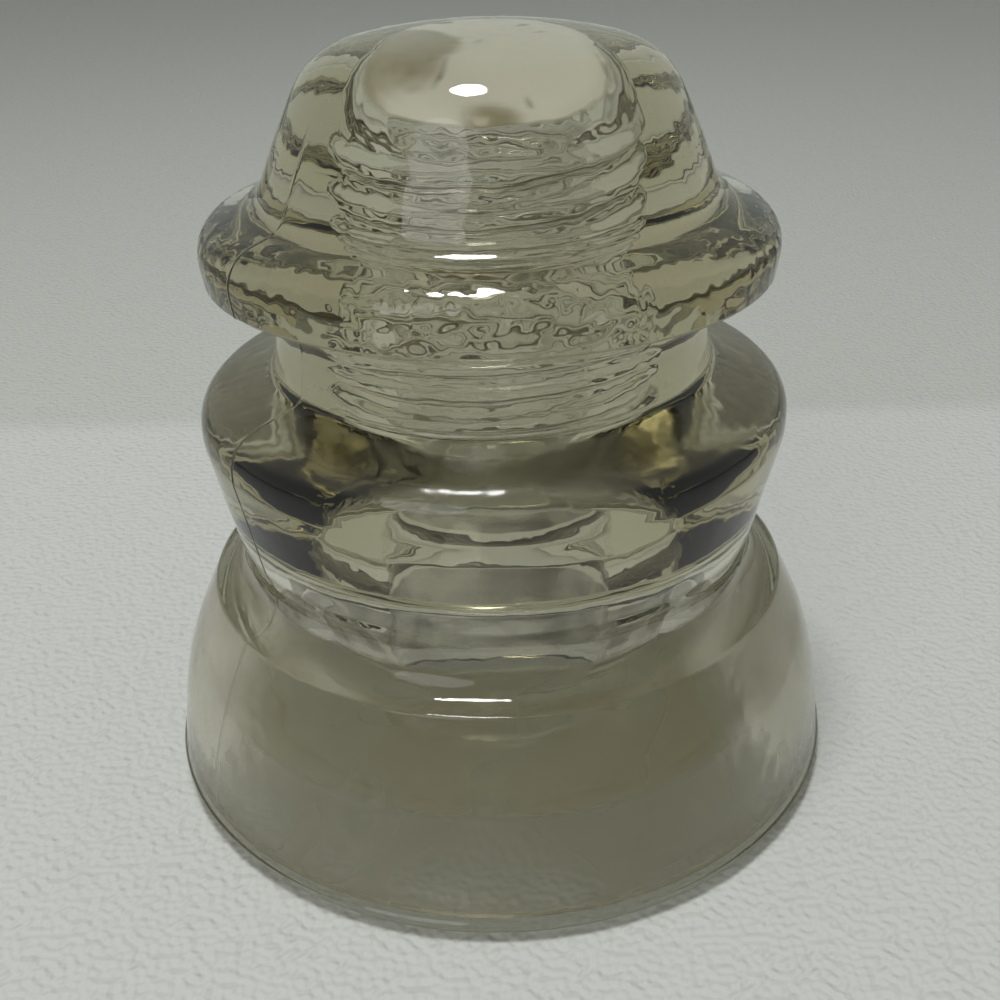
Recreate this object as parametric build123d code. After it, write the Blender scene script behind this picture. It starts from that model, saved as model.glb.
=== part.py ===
from build123d import *
import os
from cmath import phase, rect
from math import acos, atan, ceil, degrees, tan

# Clear pressed-glass pin insulator: one piece of glass, turned about +Z, that screws on to a
# tapered wood or steel pin. All lengths are in millimetres. The origin is the centre of the
# base ring, on the surface that the insulator stands on.
#
# From the base up: a flared skirt with a rounded rim, a ledge with a sharp ridge, a waist,
# the lower flange, the wire groove, the upper flange, and the crown. Inside, from below: the
# bell cavity, an inner petticoat, and the pin hole with its coarse tapered thread.

# Skirt
base_radius = 63.5
rim_rounding = 4.4
mould_line_height = 3.6
mould_line_proud = 0.45
skirt_height = 37.4
skirt_bend_height = 21.7
skirt_bend_radius = 60.6
skirt_bend_rounding = 49.0
ledge_ridge_radius = 53.1
ledge_ridge_rounding = 1.0

# Waist and lower flange
ledge_rise = 1.0
ledge_root_radius = 43.8
ledge_root_rounding = 7.5
waist_height = 10.7
waist_radius = 47.9
waist_rounding = 7.8
lower_flange_flare = 18.1
lower_flange_radius = 51.7
lower_flange_side = 6.8
lower_flange_rounding = 6.4

# Wire groove
lower_flange_slope = 4.0
groove_foot_radius = 38.2
groove_foot_rounding = 1.9
groove_width = 13.1
groove_radius = 37.1
groove_hollow_height = 7.7
groove_hollow_rounding = 15.0
groove_head_rounding = 3.1

# Upper flange and crown
upper_flange_slope = 3.1
upper_flange_lip_radius = 47.9
upper_flange_lip_rounding = 0.8
upper_flange_side = 8.8
upper_flange_radius = 49.0
upper_flange_rounding = 6.2
brim_height = 3.1
brim_radius = 38.6
brim_rounding = 5.8
crown_foot_height = 9.0
crown_foot_radius = 34.9
crown_foot_rounding = 1.1
crown_side_height = 13.6
crown_shoulder_radius = 28.7
crown_shoulder_rounding = 14.2
dome_height = 3.6
dome_flat_radius = 11.2
dome_rounding = 100.0

# Bell cavity and inner petticoat
skirt_wall = 11.2
cavity_shoulder_height = 17.5
ledge_wall = 6.8
cavity_neck_height = 40.0
waist_wall = 7.5
cavity_depth = 51.2
cavity_shoulder_rounding = 17.5
cavity_crown_rounding = 3.0
cavity_mouth_rounding = 4.0
petticoat_recess = 11.2
petticoat_wall = 9.2
petticoat_draft = 2.0
petticoat_rounding = 4.0

# Pin hole: a plain entry, and above it the thread of a standard 1 3/8 inch insulator pin,
# four turns to the inch, with a taper of one in sixteen on the diameter
inch = 25.4
entry_radius = 19.8
entry_length = 43.3
entry_mouth_rounding = 3.0
entry_taper_height = 7.0
thread_pitch = inch / 4
thread_turns = 8
thread_taper = 1 / 16
thread_root_radius = 19.1
thread_depth = 1.35
thread_crest_width = 1.9
thread_root_width = 1.5
hole_top_clearance = 6.2
hole_top_rounding = 3.1

# Roundings are drawn as chords, which keeps the solid light. This is how far a chord may
# stray from its arc.
chord_error = 0.25


def rounded(corners):
    """Points of an outline with rounded corners. Each corner is (across, up, rounding).

    Two neighbouring roundings that need more than the run between them share it. A rounding
    is drawn as equal chords of its arc.
    """
    points = [complex(across, up) for across, up, _ in corners]
    runs = [end - start for start, end in zip(points, points[1:])]
    turns = [phase(leaving / arriving) for arriving, leaving in zip(runs, runs[1:])]
    reaches = [0.0]
    for turn, (_, _, rounding) in zip(turns, corners[1:]):
        reaches.append(rounding * tan(abs(turn) / 2))
    reaches.append(0.0)
    for number, run in enumerate(runs):
        wanted = reaches[number] + reaches[number + 1]
        if wanted > 0.98 * abs(run):
            reaches[number] *= 0.98 * abs(run) / wanted
            reaches[number + 1] *= 0.98 * abs(run) / wanted
    outline = [points[0]]
    for number, turn in enumerate(turns, start=1):
        reach = reaches[number]
        if reach == 0.0:
            outline.append(points[number])
            continue
        arriving = runs[number - 1] / abs(runs[number - 1])
        start = points[number] - arriving * reach
        inwards = arriving * 1j * reach / tan(turn / 2)
        chord_turn = 2 * acos(max(0.0, 1 - chord_error / abs(inwards)))
        chords = ceil(abs(turn) / chord_turn)
        for chord in range(chords + 1):
            outline.append(start + inwards - inwards * rect(1, turn * chord / chords))
    outline.append(points[-1])
    return outline


def section(corners):
    """Face in the XZ plane, bounded by the rounded outline and a line that closes it."""
    points = [(point.real, 0, point.imag) for point in rounded(corners)]
    return make_face(Polyline(*points, close=True))


# Heights of the outer outline, each above the one before
ledge_root_height = skirt_height + ledge_rise
waist_level = ledge_root_height + waist_height
lower_flange_low = waist_level + lower_flange_flare
lower_flange_high = lower_flange_low + lower_flange_side
groove_foot_level = lower_flange_high + lower_flange_slope
groove_head_level = groove_foot_level + groove_width
upper_flange_low = groove_head_level + upper_flange_slope
upper_flange_high = upper_flange_low + upper_flange_side
brim_level = upper_flange_high + brim_height
crown_foot_level = brim_level + crown_foot_height
crown_shoulder_level = crown_foot_level + crown_side_height
height = crown_shoulder_level + dome_height

# Heights and radii of the pin hole
thread_length = thread_turns * thread_pitch
entry_high = petticoat_recess + entry_length
thread_low = entry_high + entry_taper_height
hole_top = thread_low + thread_length + hole_top_clearance
crest_low_radius = thread_root_radius - thread_depth
crest_high_radius = crest_low_radius - (hole_top - thread_low) * thread_taper / 2


def turned_glass():
    """The glass without its thread: down the outside, round the rim, and up the inside."""
    mould_line_radius = base_radius - mould_line_proud
    petticoat_radius = entry_radius + petticoat_wall
    outside = [
        (0, height, 0),
        (dome_flat_radius, height, dome_rounding),
        (crown_shoulder_radius, crown_shoulder_level, crown_shoulder_rounding),
        (crown_foot_radius, crown_foot_level, crown_foot_rounding),
        (brim_radius, brim_level, brim_rounding),
        (upper_flange_radius, upper_flange_high, upper_flange_rounding),
        (upper_flange_lip_radius, upper_flange_low, upper_flange_lip_rounding),
        (groove_foot_radius, groove_head_level, groove_head_rounding),
        (groove_radius, groove_foot_level + groove_hollow_height, groove_hollow_rounding),
        (groove_foot_radius, groove_foot_level, groove_foot_rounding),
        (lower_flange_radius, lower_flange_high, lower_flange_rounding),
        (lower_flange_radius, lower_flange_low, lower_flange_rounding),
        (waist_radius, waist_level, waist_rounding),
        (ledge_root_radius, ledge_root_height, ledge_root_rounding),
        (ledge_ridge_radius, skirt_height, ledge_ridge_rounding),
        (skirt_bend_radius, skirt_bend_height, skirt_bend_rounding),
        (mould_line_radius, mould_line_height + mould_line_proud, 0),
        (base_radius, mould_line_height, 0),
        (mould_line_radius, mould_line_height - mould_line_proud, 0),
        (mould_line_radius, 0, rim_rounding),
    ]
    inside = [
        (base_radius - skirt_wall, 0, cavity_mouth_rounding),
        (ledge_ridge_radius - ledge_wall, cavity_shoulder_height, cavity_shoulder_rounding),
        (ledge_root_radius - waist_wall, cavity_neck_height, cavity_shoulder_rounding),
        (ledge_root_radius - waist_wall, cavity_depth, cavity_crown_rounding),
        (petticoat_radius + petticoat_draft, cavity_depth, cavity_crown_rounding),
        (petticoat_radius, petticoat_recess, petticoat_rounding),
        (entry_radius, petticoat_recess, entry_mouth_rounding),
        (entry_radius, entry_high, 0),
        (crest_low_radius, thread_low, 0),
        (crest_high_radius, hole_top, hole_top_rounding),
        (0, hole_top, 0),
    ]
    return revolve(section(outside + inside), axis=Axis.Z)


def thread_groove():
    """Groove of the thread, rising anticlockwise about +Z, which is right-handed."""
    half_gap = (thread_pitch - thread_crest_width) / 2
    half_root = thread_root_width / 2
    inside_radius = crest_low_radius - thread_depth
    corners = [
        (inside_radius, thread_low - half_gap, 0),
        (crest_low_radius, thread_low - half_gap, 0),
        (thread_root_radius, thread_low - half_root, 0),
        (thread_root_radius, thread_low + half_root, 0),
        (crest_low_radius, thread_low + half_gap, 0),
        (inside_radius, thread_low + half_gap, 0),
    ]
    lean = degrees(atan(thread_taper / 2))
    start = (0, 0, thread_low)
    path = Helix(thread_pitch, thread_length, crest_low_radius, center=start, cone_angle=-lean)
    return sweep(section(corners), path=path, is_frenet=True)


glass = turned_glass() - thread_groove()
os.makedirs("parts", exist_ok=True)
export_step(glass, "parts/glass_insulator.step")
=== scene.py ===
import math
from cmath import phase, rect

import bpy
import numpy as np
from mathutils import Matrix, Vector


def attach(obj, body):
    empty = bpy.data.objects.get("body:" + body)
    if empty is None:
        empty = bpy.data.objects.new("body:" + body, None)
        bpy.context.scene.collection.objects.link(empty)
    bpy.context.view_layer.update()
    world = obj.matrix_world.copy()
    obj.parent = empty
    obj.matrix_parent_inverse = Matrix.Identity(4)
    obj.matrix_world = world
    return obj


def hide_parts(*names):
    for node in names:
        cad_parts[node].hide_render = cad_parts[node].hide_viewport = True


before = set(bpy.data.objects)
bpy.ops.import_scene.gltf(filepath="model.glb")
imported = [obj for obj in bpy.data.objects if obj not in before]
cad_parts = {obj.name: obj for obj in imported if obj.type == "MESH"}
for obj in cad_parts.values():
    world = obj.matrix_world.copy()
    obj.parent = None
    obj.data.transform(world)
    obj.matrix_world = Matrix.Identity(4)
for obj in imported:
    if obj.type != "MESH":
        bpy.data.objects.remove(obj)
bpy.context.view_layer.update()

MM = 0.001
SEED = 7

# The glass section in millimetres, as in the part's source: (radius, height, rounding)
CROWN = [(0, 132.2, 0), (11.2, 132.2, 100), (28.7, 128.6, 14.2), (34.9, 115.0, 1.1)]
UPPER_FLANGE = [(38.6, 106.0, 5.8), (49.0, 102.9, 6.2), (47.9, 94.1, 0.8)]
WIRE_GROOVE = [(38.2, 91.0, 3.1), (37.1, 85.7, 15), (38.2, 77.9, 1.9)]
LOWER_FLANGE = [(51.7, 73.9, 6.4), (51.7, 67.2, 6.4), (47.9, 49.1, 7.8), (43.8, 38.4, 7.5)]
SKIRT = [(53.1, 37.4, 1.0), (60.6, 21.7, 49)]
RIM = [(63.05, 4.05, 0.15), (63.5, 3.6, 0.15), (63.05, 3.15, 0.15), (63.05, 0, 4.4)]
CAVITY = [(52.3, 0, 4), (46.3, 17.5, 17.5), (36.3, 40.0, 17.5), (36.3, 51.2, 3), (31.0, 51.2, 3)]
PETTICOAT = [(29.0, 11.2, 4), (19.8, 11.2, 3), (19.8, 54.5, 3)]
PIN_HOLE = [(17.75, 61.5, 3), (15.97, 118.5, 3.1), (0, 118.5, 0)]

THREAD_LOW = 61.5
THREAD_PITCH = 6.35
THREAD_TURNS = 8
THREAD_DEPTH = 1.35
THREAD_TOP = THREAD_LOW + THREAD_TURNS * THREAD_PITCH

# Fineness of the mesh: points round the axis, and steps along the section
COLUMNS = 208
OUTLINE_STEP = 1.6
THREAD_STEP = 0.6
TURN_PER_CHORD = 0.2

# Where the section is parted: the flat base between outside and inside, and the threaded wall
BASE_OUTSIDE_FROM = 58.0
BASE_INSIDE_TO = 56.0
THREADED_WALL = (13, 17.8)
HOLE_TOP_WITHIN = 17.0

# Size of the pressed-glass waviness, in millimetres
BROAD_WAVES = 0.07
MIDDLE_WAVES = 0.028
HOLE_SKIN = 0.07
HOLE_TOP_DISH = 0.12
HOLE_TOP_LOW = 118.0

SEAM_ANGLES = (math.radians(-144), math.radians(36))
SEAM_HALF_WIDTH = 0.35
SEAM_PROUD = 0.12

# How each zone of the glass is finished: (cover of a diffuse film of dry dirt, which is also painted
# shade inside the bell and a painted silvery sheen on the hole top, roughness, strength of the grain)
CLEAR = (0.0, 0.0, 0.10)
PEBBLED = (0.0, 0.0, 0.60)
FLANGE_TOP = (0.08, 0.16, 0.25)
# Inside the bell the brown film is grime and partly painted shade of the dim hollow, heavier high up in
# the shoulder
SHOULDER_WALL = (0.55, 0.20, 0.20)
SKIRT_WALL = (0.30, 0.25, 0.20)
NECK_WALL = (0.0, 0.0, 0.10)
ENTRY_WALL = (0.0, 0.0, 0.12)
# A thin brown film darkens the threaded wall
THREAD_WALL = (0.12, 0.07, 0.20)
# The hole top's full pale film is frosted glass and partly a painted silvery reflection
HOLE_TOP = (1.0, 0.20, 0.30)

# Where each zone lies on the section, in millimetres: heights, and the radius it lies beyond
PEBBLED_HEIGHTS = (94.5, 104.5)
PEBBLED_BEYOND = 44
FLANGE_TOP_HEIGHTS = (73, 78)
FLANGE_TOP_BEYOND = 40
HOLE_TOP_ABOVE = 117.6
BELL_WALL_BEYOND = 38
SHOULDER_ABOVE = 15
NECK_BEYOND = 29.6

# Colours of the diffuse film: brown dirt, which inside the bell also paints shade; pale frosting that
# also paints a silvery reflection; dark specks of pits
BROWN_DIRT_AND_SHADE = (0.44, 0.39, 0.26)
PALE_FROST_AND_SHEEN = (0.96, 0.94, 0.88)
SPECK = (0.12, 0.11, 0.08)


def rounded(corners, step):
    """Points along an outline with rounded corners, no further than a step apart."""
    points = [complex(across, up) for across, up, _ in corners]
    runs = [end - start for start, end in zip(points, points[1:])]
    turns = [phase(leaving / arriving) for arriving, leaving in zip(runs, runs[1:])]
    reaches = [0.0]
    for turn, (_, _, rounding) in zip(turns, corners[1:]):
        reaches.append(rounding * math.tan(abs(turn) / 2))
    reaches.append(0.0)
    for number, run in enumerate(runs):
        wanted = reaches[number] + reaches[number + 1]
        if wanted > 0.98 * abs(run):
            reaches[number] *= 0.98 * abs(run) / wanted
            reaches[number + 1] *= 0.98 * abs(run) / wanted
    outline = [points[0]]
    for number, turn in enumerate(turns, start=1):
        arriving = runs[number - 1] / abs(runs[number - 1])
        start = points[number] - arriving * reaches[number]
        add_straight(outline, start, step)
        inwards = arriving * 1j * reaches[number] / math.tan(turn / 2)
        chords = max(3, math.ceil(abs(turn) * abs(inwards) / step), math.ceil(abs(turn) / TURN_PER_CHORD))
        for chord in range(1, chords + 1):
            outline.append(start + inwards - inwards * rect(1, turn * chord / chords))
    add_straight(outline, points[-1], step)
    return outline


def add_straight(outline, end, step):
    """Add points in a straight line from the outline's last point to the end."""
    start = outline[-1]
    parts = max(1, math.ceil(abs(end - start) / step))
    for part in range(1, parts + 1):
        outline.append(start + (end - start) * part / parts)


class Ripples:
    """Smooth noise that closes round the axis: a sum of waves in angle and height."""

    def __init__(self, seed, waves, around, along):
        rng = np.random.default_rng(seed)
        self.around = rng.integers(around[0], around[1] + 1, waves)
        self.along = rng.uniform(along[0], along[1], waves) * rng.choice([-1, 1], waves)
        self.start = rng.uniform(0, 2 * math.pi, waves)
        sizes = 1.0 / (1.0 + 0.1 * self.around)
        self.sizes = sizes / math.sqrt((sizes ** 2).sum() / 2)

    def __call__(self, theta, height):
        total = 0.0
        for around, along, start, size in zip(self.around, self.along, self.start, self.sizes):
            total = total + size * np.cos(around * theta + along * height + start)
        return total


def cloudy(seed, waves, shortest, longest, points):
    """Smooth noise of about unit size at points: a sum of plane waves in all directions."""
    rng = np.random.default_rng(seed)
    total = 0.0
    for _ in range(waves):
        direction = rng.normal(size=3)
        direction *= 2 * math.pi / (rng.uniform(shortest, longest) * np.linalg.norm(direction))
        total = total + np.cos(points @ direction + rng.uniform(0, 2 * math.pi))
    return total / math.sqrt(waves / 2)


def smooth_step(low, high, value):
    t = np.clip((value - low) / (high - low), 0, 1)
    return t * t * (3 - 2 * t)


def column_angles():
    """Even angles round the axis, with a few more close to each mould seam."""
    angles = list(np.arange(COLUMNS) * 2 * math.pi / COLUMNS)
    width = SEAM_HALF_WIDTH / UPPER_FLANGE[1][0]
    for seam in SEAM_ANGLES:
        angles = [a for a in angles if abs(math.remainder(a - seam, 2 * math.pi)) > 1.7 * width]
        angles += [(seam + part * width) % (2 * math.pi) for part in (-1.5, -1, -0.5, 0, 0.5, 1, 1.5)]
    return np.sort(np.array(angles))


def seam_ridge(theta, radius):
    ridge = 0.0
    for seam in SEAM_ANGLES:
        offset = np.abs(np.remainder(theta - seam + math.pi, 2 * math.pi) - math.pi) * radius
        ridge = ridge + 1 - smooth_step(0, SEAM_HALF_WIDTH, offset)
    return ridge


def glass_section():
    """Points down the outside, up the inside to the thread, along the thread, and above it."""
    outer_corners = CROWN + UPPER_FLANGE + WIRE_GROOVE + LOWER_FLANGE + SKIRT + RIM + CAVITY[:1]
    outside = rounded(outer_corners, OUTLINE_STEP)
    inside = rounded(RIM[-1:] + CAVITY + PETTICOAT + PIN_HOLE, OUTLINE_STEP)
    low_outside = [p for p in outside if p.imag > 1e-9 or p.real > BASE_OUTSIDE_FROM]
    low_inside = [p for p in inside if p.imag > 1e-9 or p.real < BASE_INSIDE_TO]
    plain, threaded = [], []
    for point in low_inside:
        if THREADED_WALL[0] < point.real < THREADED_WALL[1] and point.imag > THREAD_LOW:
            threaded.append(point)
        else:
            plain.append(point)
    below = [p for p in plain if p.real > HOLE_TOP_WITHIN]
    above = [p for p in plain if p.real <= HOLE_TOP_WITHIN]
    fine = [threaded[0]]
    for end in threaded[1:]:
        add_straight(fine, end, THREAD_STEP)
    return low_outside, below, fine, above


def glass_mesh():
    low_outside, below, fine, above = glass_section()
    section = np.array(low_outside + below + fine + above)
    count = len(section)
    inner = (np.arange(count) >= len(low_outside))[:, None]
    in_hole = (np.arange(count) >= len(low_outside) + len(below))[:, None]
    theta = column_angles()[None, :]
    radius = np.repeat(section.real[:, None], theta.shape[1], 1)
    height = np.repeat(section.imag[:, None], theta.shape[1], 1)

    # pressed-glass waviness, and the seam of the two-part mould
    broad = Ripples(SEED, 24, (1, 7), (0.02, 0.2))
    middle = Ripples(SEED + 1, 40, (4, 26), (0.08, 0.7))
    clear_of_base = smooth_step(6, 12, height) * smooth_step(4, 10, radius)
    waves = BROAD_WAVES * broad(theta, height) + MIDDLE_WAVES * middle(theta, height)
    radius = radius + ~inner * clear_of_base * waves
    sides = clear_of_base * (1 - smooth_step(116, 124, height))
    radius = radius + ~inner * sides * SEAM_PROUD * seam_ridge(theta, radius)

    # thread, and the rough skin that the pin mould leaves
    climb = (height - THREAD_LOW) / THREAD_PITCH - theta / (2 * math.pi)
    groove = smooth_step(0.1, 0.85, 0.5 + 0.5 * np.cos(2 * math.pi * climb))
    run_out = smooth_step(THREAD_LOW - 2, THREAD_LOW, height)
    run_out = run_out * (1 - smooth_step(THREAD_TOP - 1.5, THREAD_TOP + 2, height))
    radius = radius + in_hole * run_out * THREAD_DEPTH * groove
    skin = Ripples(SEED + 2, 60, (3, 34), (0.6, 3.2))
    rough = smooth_step(60, 66, height) * smooth_step(3, 9, radius)
    radius = radius + in_hole * rough * HOLE_SKIN * skin(theta, height)
    dish = Ripples(SEED + 3, 30, (1, 9), (0.25, 0.7))
    height = height + in_hole * (height > HOLE_TOP_LOW) * HOLE_TOP_DISH * dish(theta, radius)

    points = np.stack([radius * np.cos(theta), radius * np.sin(theta), height], -1)
    finish = row_finishes(section, len(low_outside), len(low_outside) + len(below))
    finish = np.repeat(np.array(finish)[:, None, :], theta.shape[1], 1)
    patches = cloudy(SEED + 4, 30, 12, 50, points)
    uneven = np.clip(1 + 0.2 * patches, 0.4, 1.6)
    finish[..., 0] = np.clip(finish[..., 0] * uneven, 0, 1)
    finish[..., 1] = finish[..., 1] * uneven + 0.02 * np.clip(patches - 0.6, 0, 1)
    pits = cloudy(SEED + 5, 40, 2.5, 8, points)
    # Full cover turns the film pale: frosted glass with a painted silvery reflection on the hole top.
    # Elsewhere it is brown dirt, inside the bell also painted shade. The dark specks are pits on the pale
    # film.
    pale = smooth_step(0.85, 0.95, finish[..., 0:1])
    dirt_shade_and_sheen = pale * PALE_FROST_AND_SHEEN + (1 - pale) * BROWN_DIRT_AND_SHADE
    specks = pale * smooth_step(1.5, 2.1, pits)[..., None]
    dirt_shade_and_sheen = specks * SPECK + (1 - specks) * dirt_shade_and_sheen
    return grid_mesh(points * MM, {"finish": finish, "dirt_shade_and_sheen": dirt_shade_and_sheen})


def row_finishes(section, first_inner, first_hole):
    """The finish of each row of points, by where it lies on the section."""
    finishes = []
    for number, point in enumerate(section):
        radius, height = point.real, point.imag
        if number < first_inner:
            if PEBBLED_HEIGHTS[0] < height < PEBBLED_HEIGHTS[1] and radius > PEBBLED_BEYOND:
                finishes.append(PEBBLED)
            elif FLANGE_TOP_HEIGHTS[0] < height < FLANGE_TOP_HEIGHTS[1] and radius > FLANGE_TOP_BEYOND:
                finishes.append(FLANGE_TOP)
            else:
                finishes.append(CLEAR)
        elif number >= first_hole:
            finishes.append(HOLE_TOP if height > HOLE_TOP_ABOVE else THREAD_WALL)
        elif radius > BELL_WALL_BEYOND:
            finishes.append(SHOULDER_WALL if height > SHOULDER_ABOVE else SKIRT_WALL)
        else:
            finishes.append(NECK_WALL if radius > NECK_BEYOND else ENTRY_WALL)
    return finishes


def grid_mesh(points, colours):
    """Closed skin over the rows of points; the first and the last row are single points."""
    rows, columns, _ = points.shape
    verts = [points[0, 0]] + list(points[1:-1].reshape(-1, 3)) + [points[-1, 0]]
    last = len(verts) - 1
    faces = []
    for column in range(columns):
        after = (column + 1) % columns
        faces.append((0, 1 + column, 1 + after))
        for row in range(rows - 3):
            here = 1 + row * columns
            below = here + columns
            faces.append((here + column, below + column, below + after, here + after))
        end = 1 + (rows - 3) * columns
        faces.append((last, end + after, end + column))
    mesh = bpy.data.meshes.new("glass")
    mesh.from_pydata([tuple(v) for v in verts], [], faces)
    mesh.polygons.foreach_set("use_smooth", [True] * len(faces))
    mesh.validate()
    mesh.update()
    for name, grid in colours.items():
        values = np.concatenate([grid[0, :1], grid[1:-1].reshape(-1, 3), grid[-1, :1]])
        attribute = mesh.color_attributes.new(name, "FLOAT_COLOR", "POINT")
        attribute.data.foreach_set("color", np.c_[values, np.ones(len(values))].ravel())
    return mesh


def new_material(name):
    material = bpy.data.materials.new(name)
    material.use_nodes = True
    material.node_tree.nodes.clear()
    return material, material.node_tree.nodes, material.node_tree.links


def noise(nodes, links, coords, scale, detail):
    texture = nodes.new("ShaderNodeTexNoise")
    texture.inputs["Scale"].default_value = scale
    texture.inputs["Detail"].default_value = detail
    links.new(coords.outputs["Object"], texture.inputs["Vector"])
    return texture


def attribute(nodes, name):
    source = nodes.new("ShaderNodeAttribute")
    source.attribute_name = name
    return source.outputs["Color"]


def glass_material():
    """Olive-tinted clear glass, with roughness and a diffuse film where the mesh says: dry dirt, painted
    shade inside the bell and a painted silvery reflection on the hole top.
    """
    material, nodes, links = new_material("pressed_glass")
    out = nodes.new("ShaderNodeOutputMaterial")
    glass = nodes.new("ShaderNodeBsdfPrincipled")
    glass.inputs["Base Color"].default_value = (0.99, 0.99, 0.985, 1)
    glass.inputs["Transmission Weight"].default_value = 1.0
    glass.inputs["IOR"].default_value = 1.52
    zone = nodes.new("ShaderNodeSeparateColor")
    links.new(attribute(nodes, "finish"), zone.inputs["Color"])
    links.new(zone.outputs["Green"], glass.inputs["Roughness"])
    coords = nodes.new("ShaderNodeTexCoord")
    grain = noise(nodes, links, coords, 400, 0)
    lift = nodes.new("ShaderNodeBump")
    lift.inputs["Distance"].default_value = 0.0004
    links.new(zone.outputs["Blue"], lift.inputs["Strength"])
    links.new(grain.outputs["Fac"], lift.inputs["Height"])
    links.new(lift.outputs["Normal"], glass.inputs["Normal"])
    # Diffuse film: dry dirt, with painted shade inside the bell and a painted silvery reflection on the
    # hole top
    dirt_shade_and_sheen = nodes.new("ShaderNodeBsdfDiffuse")
    links.new(attribute(nodes, "dirt_shade_and_sheen"), dirt_shade_and_sheen.inputs["Color"])
    blend = nodes.new("ShaderNodeMixShader")
    links.new(zone.outputs["Red"], blend.inputs["Fac"])
    links.new(glass.outputs["BSDF"], blend.inputs[1])
    links.new(dirt_shade_and_sheen.outputs["BSDF"], blend.inputs[2])
    links.new(blend.outputs["Shader"], out.inputs["Surface"])
    tint = nodes.new("ShaderNodeVolumeAbsorption")
    tint.inputs["Color"].default_value = (0.70, 0.665, 0.47, 1)
    tint.inputs["Density"].default_value = 24.0
    links.new(tint.outputs["Volume"], out.inputs["Volume"])
    return material


def floor_material():
    """White cloth near the object, and past its edge the same pale grey as the backdrop."""
    material, nodes, links = new_material("white_cloth")
    out = nodes.new("ShaderNodeOutputMaterial")
    cloth = nodes.new("ShaderNodeBsdfPrincipled")
    cloth.inputs["Roughness"].default_value = 0.9
    coords = nodes.new("ShaderNodeTexCoord")
    split = nodes.new("ShaderNodeSeparateXYZ")
    links.new(coords.outputs["Object"], split.inputs["Vector"])
    edge = nodes.new("ShaderNodeMapRange")
    edge.interpolation_type = "SMOOTHSTEP"
    edge.inputs["From Min"].default_value = 0.135
    edge.inputs["From Max"].default_value = 0.152
    links.new(split.outputs["Y"], edge.inputs["Value"])
    tone = nodes.new("ShaderNodeMix")
    tone.data_type = "RGBA"
    tone.inputs["A"].default_value = (0.76, 0.785, 0.75, 1)
    tone.inputs["B"].default_value = (0.66, 0.695, 0.645, 1)
    links.new(edge.outputs["Result"], tone.inputs["Factor"])
    links.new(tone.outputs["Result"], cloth.inputs["Base Color"])
    weave = noise(nodes, links, coords, 650, 0)
    lift = nodes.new("ShaderNodeBump")
    lift.inputs["Strength"].default_value = 0.9
    lift.inputs["Distance"].default_value = 0.0009
    links.new(weave.outputs["Fac"], lift.inputs["Height"])
    links.new(lift.outputs["Normal"], cloth.inputs["Normal"])
    links.new(cloth.outputs["BSDF"], out.inputs["Surface"])
    return material


def build_world():
    """Soft light from all round; the backdrop that is seen, also in the glass, is pale grey."""
    world = bpy.data.worlds.new("studio")
    bpy.context.scene.world = world
    world.use_nodes = True
    nodes, links = world.node_tree.nodes, world.node_tree.links
    nodes.clear()
    out = nodes.new("ShaderNodeOutputWorld")
    backdrop = nodes.new("ShaderNodeBackground")
    backdrop.inputs["Color"].default_value = (0.43, 0.455, 0.415, 1)
    light = nodes.new("ShaderNodeBackground")
    light.inputs["Color"].default_value = (1.0, 0.99, 0.97, 1)
    light.inputs["Strength"].default_value = 0.25
    path = nodes.new("ShaderNodeLightPath")
    seen = path.outputs["Is Camera Ray"]
    for ray in ("Is Glossy Ray", "Is Transmission Ray"):
        either = nodes.new("ShaderNodeMath")
        either.operation = "MAXIMUM"
        links.new(seen, either.inputs[0])
        links.new(path.outputs[ray], either.inputs[1])
        seen = either.outputs["Value"]
    mix = nodes.new("ShaderNodeMixShader")
    links.new(seen, mix.inputs["Fac"])
    links.new(light.outputs["Background"], mix.inputs[1])
    links.new(backdrop.outputs["Background"], mix.inputs[2])
    links.new(mix.outputs["Shader"], out.inputs["Surface"])


def area_lamp(name, place, target, size, watts):
    data = bpy.data.lights.new(name, "AREA")
    data.shape = "DISK"
    data.size = size
    data.energy = watts
    lamp = bpy.data.objects.new(name, data)
    bpy.context.scene.collection.objects.link(lamp)
    lamp.location = place
    aim = Vector(target) - Vector(place)
    lamp.rotation_mode = "QUATERNION"
    lamp.rotation_quaternion = aim.to_track_quat("-Z", "Y")


def build_camera():
    data = bpy.data.cameras.new("camera")
    data.sensor_width = 36.0
    data.lens = 44.32
    data.clip_start = 0.01
    data.clip_end = 20.0
    camera = bpy.data.objects.new("camera", data)
    bpy.context.scene.collection.objects.link(camera)
    place = Matrix.Translation((0.00072, -0.20525, 0.15663))
    tilt = Matrix.Rotation(math.radians(90 - 28.06), 4, "X")
    lean = Matrix.Rotation(math.radians(-1.27), 4, "Z")
    camera.matrix_world = place @ tilt @ lean
    bpy.context.scene.camera = camera


mesh = glass_mesh()
glass = bpy.data.objects.new("insulator_glass", mesh)
bpy.context.scene.collection.objects.link(glass)
mesh.materials.append(glass_material())
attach(glass, "root")
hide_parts("glass_insulator")

floor_mesh = bpy.data.meshes.new("floor")
FLOOR_REACH = 2.5
corners = [(x * FLOOR_REACH, y * FLOOR_REACH, 0) for x, y in ((-1, -1), (1, -1), (1, 1), (-1, 1))]
floor_mesh.from_pydata(corners, [], [(0, 1, 2, 3)])
floor = bpy.data.objects.new("floor", floor_mesh)
bpy.context.scene.collection.objects.link(floor)
floor_mesh.materials.append(floor_material())

build_world()
LAMP_TARGET = (0, 0, 0.06)
area_lamp("key_lamp", (-0.10, -0.10, 1.05), LAMP_TARGET, size=0.26, watts=4.4)
area_lamp("front_fill", (-0.6, -1.1, 0.9), LAMP_TARGET, size=0.8, watts=2.4)
build_camera()

bpy.context.scene.view_settings.view_transform = "Standard"
bpy.context.scene.cycles.max_bounces = 8
